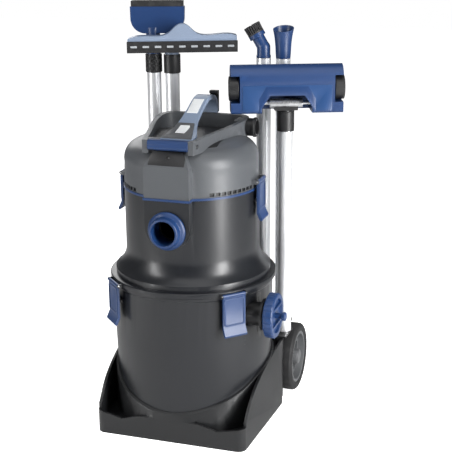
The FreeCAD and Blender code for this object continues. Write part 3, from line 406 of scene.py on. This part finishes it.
def plate(name, body, slot, outer, depth, places, inner=None, ease=0.0005, look=None):
    """Flat pieces of even depth in front of each frame, with a hole if inner is given."""
    work = bmesh.new()
    for at in places:
        layers = []
        for height in (0.0, depth):
            layers.append([[work.verts.new(at @ Vector((x, y, height))) for x, y in loop]
                           for loop in ((outer, inner) if inner else (outer,))])
        count = len(outer)
        for low, high in zip(*layers):
            for i in range(count):
                work.faces.new((low[i], low[(i + 1) % count], high[(i + 1) % count], high[i]))
        for layer in layers:
            if inner:
                for i in range(count):
                    j = (i + 1) % count
                    work.faces.new((layer[0][i], layer[0][j], layer[1][j], layer[1][i]))
            else:
                work.faces.new(layer[0])
    bmesh.ops.recalc_face_normals(work, faces=work.faces)
    mesh = bpy.data.meshes.new(name)
    work.to_mesh(mesh)
    work.free()
    piece = publish(mesh, name, body, slot, look=look)
    soften(piece, ease)
    return piece


SQUEEGEE_TURN = 21.0              # degrees that the parked tools are turned on their tubes
FLOOR_TURN = 21.0
# Direction of each latch in degrees from +X, and half its width.
LATCHES = {"right_lower_latch": (-44.0, 0.031), "left_lower_latch": (-136.0, 0.031),
           "right_upper_latch": (0.0, 0.028), "left_upper_latch": (180.0, 0.028)}
LATCH_HALF_THICK = 0.003
LATCH_FOOT = 0.027                # height of the foot that kicks outwards
LATCH_RIM = 0.005                 # width of the raised rim
PIN_OF = {joint["child"]: Vector(joint["pos_m"]) for joint in RECORD["behaviour"]["joints"]
          if "pos_m" in joint}


def latch_panels():
    """Raised rims that leave the middle of each latch recessed."""
    for latch, (degrees, half) in LATCHES.items():
        pin = PIN_OF[latch]
        radius = pin.to_2d().length + LATCH_HALF_THICK
        low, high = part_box(latch)[0].z + LATCH_FOOT, pin.z - 0.007
        at = on_wall(degrees, radius - 0.0002, (low + high) / 2)
        tall = (high - low) / 2
        plate(latch + "_rim", latch, "blue_plastic", corners_of(half - 0.002, tall, 0.006),
              0.0016, [at], corners_of(half - 0.002 - LATCH_RIM, tall - LATCH_RIM, 0.003))


def ribbed_collar():
    """Rows of small grip bumps round the flat nozzle's collar."""
    low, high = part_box("flat_tube_collar")
    middle = (low + high) / 2
    bump = [(0.0023, 0.0), (0.0020, 0.0008), (0.0011, 0.0014), (0.0, 0.0016)]
    rows, around, wall = 7, 16, 0.0211
    places = []
    for row in range(rows):
        height = low.z + (high.z - low.z) * (row + 0.5) / rows
        for i in range(around):
            at = on_wall(360.0 * (i + 0.5 * (row % 2)) / around, wall, height)
            places.append(Matrix.Translation((middle.x, middle.y, 0)) @ at)
    spun("collar_bumps", BODY_OF["flat_tube_collar"], "black_plastic", bump, places, 12)


def brush_tufts():
    """Stiff tufts in three rings on a base plate."""
    low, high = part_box("brush_bristles")
    along = Vector((-20.0, 0.0, 34.0)).normalized()
    length, inner, outer, root = 0.026, 0.013, 0.022, 0.004
    start = (low + high) / 2 - along * length / 2
    at = aimed(start, along)
    body = BODY_OF["brush_bristles"]
    base = spun("brush_base", body, "bristle", [(inner, 0.0), (outer, 0.0), (outer, root),
                                                (inner, root), (inner, 0.0)], [at], 48)
    shuffle, tilt = random.Random(11), 0.05
    places = []
    for radius, count in ((0.0148, 15), (0.0176, 19), (0.0203, 23)):
        for i in range(count):
            turn = math.tau * (i + shuffle.uniform(-0.15, 0.15)) / count
            lean = Matrix.Rotation(shuffle.uniform(-tilt, tilt), 4, "X")
            lean = lean @ Matrix.Rotation(shuffle.uniform(-tilt, tilt), 4, "Y")
            spot = Matrix.Translation((radius * math.cos(turn), radius * math.sin(turn),
                                       root - 0.001))
            places.append(at @ spot @ lean)
    tuft = [(0.0, 0.0), (0.0016, 0.0), (0.0017, 0.012), (0.0021, 0.0215), (0.0012, 0.0225),
            (0.0, 0.0220)]
    tufts = spun("brush_tufts", body, "bristle", tuft, places, 9)
    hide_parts("brush_bristles")
    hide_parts("brush_bristles")


def squeegee_slots():
    """Pale drain openings in the squeegee's lip."""
    at = parked("squeegee_tube", SQUEEGEE_TURN)
    out = Matrix((AXES["x"], AXES["z"], -AXES["y"])).transposed().to_4x4()
    count, left, length, front, height = 9, -0.116, 0.287, -0.068, 0.954
    places = []
    for i in range(count):
        along = left + length * (i + 0.5) / count
        places.append(at @ Matrix.Translation((along, front, height)) @ out)
    plate("squeegee_slots", BODY_OF["squeegee_strip"], "pale_blue_plastic",
          corners_of(0.0086, 0.0027, 0.0012), 0.0012, places, ease=0.0003, look="slot_grey")


# Where each cover lies; those of the floor nozzle are in its own turned frame.
SWITCH_PANEL = {"x": (-0.0225, 0.058), "y": (-0.1495, -0.042), "z": (0.765, 0.83)}
SWITCH_PANEL_SIDE = ((0.049, -0.130, 0), (0.9635, 0.2676, 0))
LABEL = {"x": (-0.012, 0.016), "y": (0.002, 0.058), "z": (0.80, 0.86)}
WELL = {"x": (-0.098, 0.098), "y": (-0.135, 0.122), "z": (0.748, 0.80)}
HOOD = {"x": (-0.046, 0.046), "y": (-0.1815, -0.1575), "z": (0.71, 0.752)}
NOZZLE_FRONT = {"x": (-0.114, 0.114), "y": (-0.05, -0.03), "z": (0.807, 0.872)}
NOZZLE_RECESS = {"x": (-0.072, 0.072), "y": (-0.05, -0.03), "z": (0.8, 0.869)}
NOZZLE_RECESS_SIDES = (((0.072, 0, 0.838), (0.86, 0, 0.51)),
                       ((-0.072, 0, 0.838), (-0.86, 0, 0.51)))
UP, FORWARD = (0, 0, 1), (0, -1, 0)


def covers():
    """Skins on the handle, the head and the floor nozzle: a grip panel and a label on the
    handle, a black sheet of painted shade in the head's well, a black sheet that darkens the
    hood's slope, a lighter blue front on the floor nozzle and a darker blue sheet of painted
    shade in its recess.
    """
    nozzle = parked("floor_tube", FLOOR_TURN)
    skin("strap_handle", "switch_panel", "head_plastic", SWITCH_PANEL, (0, -0.2, 1), 0.0008,
         cuts=(SWITCH_PANEL_SIDE,), look="grip_grey", least=0.8, around="power_switch")
    skin("strap_handle", "label_plate", "white_plastic", LABEL, (0, -0.4, 1), 0.0007,
         least=0.8)
    # Painted shade: a black sheet on the head's top in its well, standing in for the shade that
    # falls there.
    skin("motor_head", "head_well_shade", "black_plastic", WELL, UP, 0.0005)
    # A black sheet darkens the hood's slope from the grip down to the arch.
    skin("motor_head", "hood_dark_sheet", "black_plastic", HOOD, (0, -0.82, 0.57), 0.0006,
         least=0.9)
    skin("floor_nozzle", "nozzle_front", "blue_plastic", NOZZLE_FRONT, FORWARD, 0.0009,
         at=nozzle, look="light_blue", least=0.95)
    # Painted shade: a raised sheet in the darker blue over the middle of the nozzle's front,
    # standing in for the shade in its recess.
    skin("floor_nozzle", "nozzle_recess_shade", "blue_plastic", NOZZLE_RECESS, FORWARD, 0.0013,
         at=nozzle, least=0.95, cuts=NOZZLE_RECESS_SIDES)


def hood_screw():
    """Screw in the middle of the hood's slope, in black as painted shade: the black stands in
    for the shade of the hole it sits in.
    """
    low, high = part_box("motor_head")
    slope = Vector((0, -35.0, 24.0)).normalized()
    place = Vector((0, low.y + 0.0145, high.z - 0.0240)) + slope * 0.0004
    head = [(0.0, 0.0), (0.0055, 0.0), (0.0055, 0.0010), (0.0046, 0.0018), (0.0024, 0.0018),
            (0.0024, 0.0006), (0.0, 0.0006)]
    # Painted shade: the screw's black plastic stands in for the dark of its hole.
    spun("hood_screw", BODY_OF["motor_head"], "black_plastic", head, [aimed(place, slope)], 28)


latch_panels()
ribbed_collar()
brush_tufts()
squeegee_slots()
covers()
hood_screw()


# ---- floor, light and camera --------------------------------------------------------
# Name, place, the point it faces, width and height in metres, and power in watts.
LIGHTS = [
    ("side_box", (2.5, -1.06, 1.1), (0, 0, 0.55), (0.62, 2.4), 135),
    ("left_box", (-1.9, -1.83, 1.2), (0, 0, 0.5), (0.40, 2.2), 46),
    ("top_box", (0.3, -0.8, 3.2), (0, 0, 0.4), (2.6, 2.6), 30),
    ("rear_box", (-1.6, 2.2, 1.8), (0, 0, 0.6), (1.6, 1.6), 26),
]


def floor():
    work = bmesh.new()
    bmesh.ops.create_grid(work, x_segments=1, y_segments=1, size=9.0)
    mesh = bpy.data.meshes.new("studio_floor")
    work.to_mesh(mesh)
    work.free()
    sheet = bpy.data.objects.new("studio_floor", mesh)
    bpy.context.scene.collection.objects.link(sheet)
    f = Finish("studio_floor", 0.8, specular=0.1)
    f.colour(f.blend(f.noise(2.0, 2.0), rgba((0.90, 0.90, 0.90)), rgba((0.93, 0.93, 0.93))))
    rays = f.put("ShaderNodeLightPath").outputs["Is Camera Ray"]
    f.feed(f.shader.inputs["Emission Strength"], f.spread(rays, 0.0, 0.95, 0.0, 1.0))
    f.shader.inputs["Emission Color"].default_value = (1.0, 1.0, 1.0, 1.0)
    mesh.materials.append(f.material)


def area_light(name, place, target, size, power):
    data = bpy.data.lights.new(name, "AREA")
    data.shape = "RECTANGLE"
    data.size, data.size_y = size
    data.energy = power
    lamp = bpy.data.objects.new(name, data)
    lamp.location = place
    lamp.rotation_mode = "QUATERNION"
    lamp.rotation_quaternion = (Vector(target) - Vector(place)).to_track_quat("-Z", "Y")
    bpy.context.scene.collection.objects.link(lamp)


def studio_world():
    world = bpy.data.worlds.new("studio")
    world.use_nodes = True
    nodes, links = world.node_tree.nodes, world.node_tree.links
    nodes.clear()
    output = nodes.new("ShaderNodeOutputWorld")
    seen = nodes.new("ShaderNodeBackground")
    seen.inputs["Color"].default_value = (1.0, 1.0, 1.0, 1.0)
    seen.inputs["Strength"].default_value = 1.0
    cast = nodes.new("ShaderNodeBackground")
    cast.inputs["Strength"].default_value = 0.15
    where = nodes.new("ShaderNodeTexCoord")
    split = nodes.new("ShaderNodeSeparateXYZ")
    ramp = nodes.new("ShaderNodeValToRGB")
    ramp.color_ramp.elements[0].position = 0.35
    ramp.color_ramp.elements[0].color = (0.30, 0.31, 0.33, 1)
    ramp.color_ramp.elements[1].position = 0.95
    ramp.color_ramp.elements[1].color = (1, 1, 1, 1)
    shift = nodes.new("ShaderNodeMapRange")
    shift.inputs["From Min"].default_value = -1.0
    choose = nodes.new("ShaderNodeMixShader")
    rays = nodes.new("ShaderNodeLightPath")
    links.new(where.outputs["Generated"], split.inputs[0])
    links.new(split.outputs[2], shift.inputs["Value"])
    links.new(shift.outputs[0], ramp.inputs[0])
    links.new(ramp.outputs[0], cast.inputs["Color"])
    links.new(rays.outputs["Is Camera Ray"], choose.inputs[0])
    links.new(cast.outputs[0], choose.inputs[1])
    links.new(seen.outputs[0], choose.inputs[2])
    links.new(choose.outputs[0], output.inputs[0])
    bpy.context.scene.world = world


def photo_camera():
    azimuth, distance, height = math.radians(20.0), 2.7228, 1.3256
    heading, pitch, roll = math.radians(18.2), math.radians(16.6), math.radians(-0.5)
    ahead = Vector((-math.sin(heading) * math.cos(pitch), math.cos(heading) * math.cos(pitch),
                    -math.sin(pitch)))
    right = Vector((math.cos(heading), math.sin(heading), 0.0))
    up = right.cross(ahead)
    across = math.cos(roll) * right + math.sin(roll) * up
    upward = -math.sin(roll) * right + math.cos(roll) * up
    data = bpy.data.cameras.new("photo_camera")
    data.sensor_width = 36.0
    data.lens = 1100.0 / 452.0 * data.sensor_width
    camera = bpy.data.objects.new("photo_camera", data)
    camera.matrix_world = Matrix((across, upward, -ahead)).transposed().to_4x4()
    camera.location = (distance * math.sin(azimuth), -distance * math.cos(azimuth), height)
    bpy.context.scene.collection.objects.link(camera)
    bpy.context.scene.camera = camera


floor()
studio_world()
for light in LIGHTS:
    area_light(*light)
photo_camera()
bpy.context.scene.view_settings.view_transform = "Standard"
